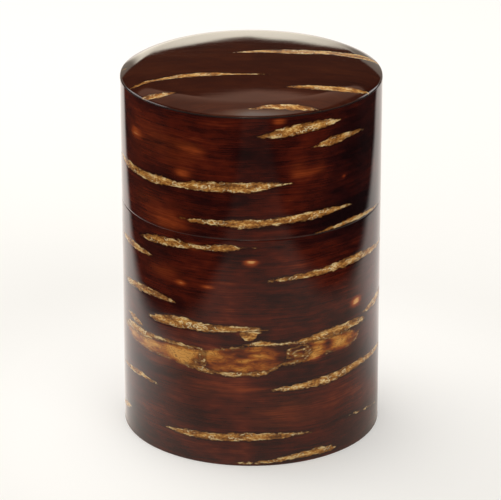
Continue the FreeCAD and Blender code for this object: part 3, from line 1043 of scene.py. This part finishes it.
shade = add(tree, "MapRange", {0: shade, 1: 0, 2: .07, 3: .58, 4: 1})
seen = add(tree, "Math", {0: behind, 1: bright, 2: front}, **TIMES_PLUS)
seen = add(tree, "Math", {0: seen, 1: on_sheet}, **TIMES)
seen = add(tree, "Math", {0: seen, 1: shade}, **TIMES)
warmth = add(tree, "Mix", {0: behind, 6: linear(WARM_FRONT), 7: linear(WHITE_BACK)}, **COLOURS)
mirrored = add(tree, "Emission", {0: warmth, 1: seen})
both = add(tree, "MixShader", {0: rays["Is Glossy Ray"], 1: lit, 2: mirrored})
add(tree, "OutputMaterial", {0: both})
floor_mesh.materials.append(paper)
print("paper with", len(tree.nodes), "nodes")

# %% [markdown]
# In a gloss the world shows a studio: a white sweep low down, a dim room, and a ceiling with a lamp.
# Sweep and ceiling climb to both sides and end there.
# A lean is the slope to the left, the slope to the right, and the most that it climbs.
# An end is where the light starts to fade to the sides, where it has faded, and what is left of it.

# %% Studio in the gloss
SWEEP_LEAN = (-.9, .7, .08)
SWEEP_END = (.08, .17, .2)
CEILING_LEAN = (-.5, .15, .085)
CEILING_END = (.43, .51, .15)
SIDE_SHIFT = .045
SWEEP = [(0, "#EDE6D4"), (.156, "#EDE6D4"), (.172, "#000000")]
CEILING = [
    (0, "#221B16"), (.468, "#221B16"), (.486, "#8A6B5B"), (.7, "#76594A"), (.85, "#866657"),
    (.92, "#D9B9A0"), (.97, "#FFF3E4"),
]

world = bpy.data.worlds.new("studio")
scene.world = world
world.use_nodes = True
tree = world.node_tree
tree.nodes.clear()
rays = add(tree, "LightPath").node.outputs
towards = add(tree, "SeparateXYZ", {0: add(tree, "TexCoord", out="Generated")}).node.outputs
off = add(tree, "Math", {0: towards[0], 1: SIDE_SHIFT}, operation="ADD")
off = add(tree, "Math", {0: off}, operation="ABSOLUTE")
lights = []
for lean, end, stops in ((SWEEP_LEAN, SWEEP_END, SWEEP), (CEILING_LEAN, CEILING_END, CEILING)):
    left = add(tree, "Math", {0: towards[0], 1: lean[0]}, **TIMES)
    right = add(tree, "Math", {0: towards[0], 1: lean[1]}, **TIMES)
    climb = add(tree, "Math", {0: left, 1: right}, operation="MAXIMUM")
    climb = add(tree, "Math", {0: climb, 1: lean[2]}, operation="MINIMUM")
    level = add(tree, "Math", {0: towards[2], 1: climb}, operation="SUBTRACT")
    light = add(tree, "ValToRGB", {0: level}, stops=stops)
    fade = add(tree, "MapRange", {0: off, 1: end[0], 2: end[1], 3: 1, 4: end[2]}, **SMOOTH)
    lights.append(add(tree, "Mix", {0: 1, 6: light, 7: fade}, blend_type="MULTIPLY", **COLOURS))
studio = add(tree, "Mix", {0: 1, 6: lights[0], 7: lights[1]}, blend_type="LIGHTEN", **COLOURS)
print("studio with", len(tree.nodes), "nodes")

# %% [markdown]
# White walls stand far to the sides and catch the rim.
# Only mirrored rays see the studio. Everything else gets an even soft light, and the camera sees white.

# %% World
GLOSS_LIGHT = 2.6
SOFT_LIGHT = .72
WALL_LEAN = -.28
ahead = add(tree, "Math", {0: towards[0], 1: WALL_LEAN, 2: towards[1]}, **TIMES_PLUS)
walls = overlap(tree, (off, .62, .75, 1), (towards[2], .5, .35, 1), (ahead, 0, .15, 1))
studio = add(tree, "Mix", {0: 1, 6: studio, 7: walls}, blend_type="LIGHTEN", **COLOURS)
in_gloss = add(tree, "Background", {0: studio, 1: GLOSS_LIGHT})
soft = add(tree, "Background", {0: linear("#FFFFFF"), 1: SOFT_LIGHT})
white = add(tree, "Background", {0: linear("#FFFFFF"), 1: 1})
shown = add(tree, "MixShader", {0: rays["Is Glossy Ray"], 1: soft, 2: in_gloss})
shown = add(tree, "MixShader", {0: rays["Is Camera Ray"], 1: shown, 2: white})
add(tree, "OutputWorld", {0: shown})
print("world with", len(tree.nodes), "nodes")

# %% [markdown]
# Two broad lamps give the soft shadow: one above at the left, and a weaker one in front at the right.
# They are hidden from the gloss, which has its own studio.

# %% Lamps
LAMPS = [("overhead", (-.25, .25, .9), 3.6, .7), ("fill", (.5, -.8, .7), 1.6, .6)]
for name, spot, watts, size in LAMPS:
    lamp = bpy.data.lights.new(name, "AREA")
    lamp.energy = watts
    lamp.size = size
    holder = bpy.data.objects.new(name, lamp)
    scene.collection.objects.link(holder)
    holder.location = spot
    holder.rotation_euler = (holder.location * -1).to_track_quat("-Z", "Y").to_euler()
    holder.visible_glossy = False
print("lamps:", len(LAMPS))
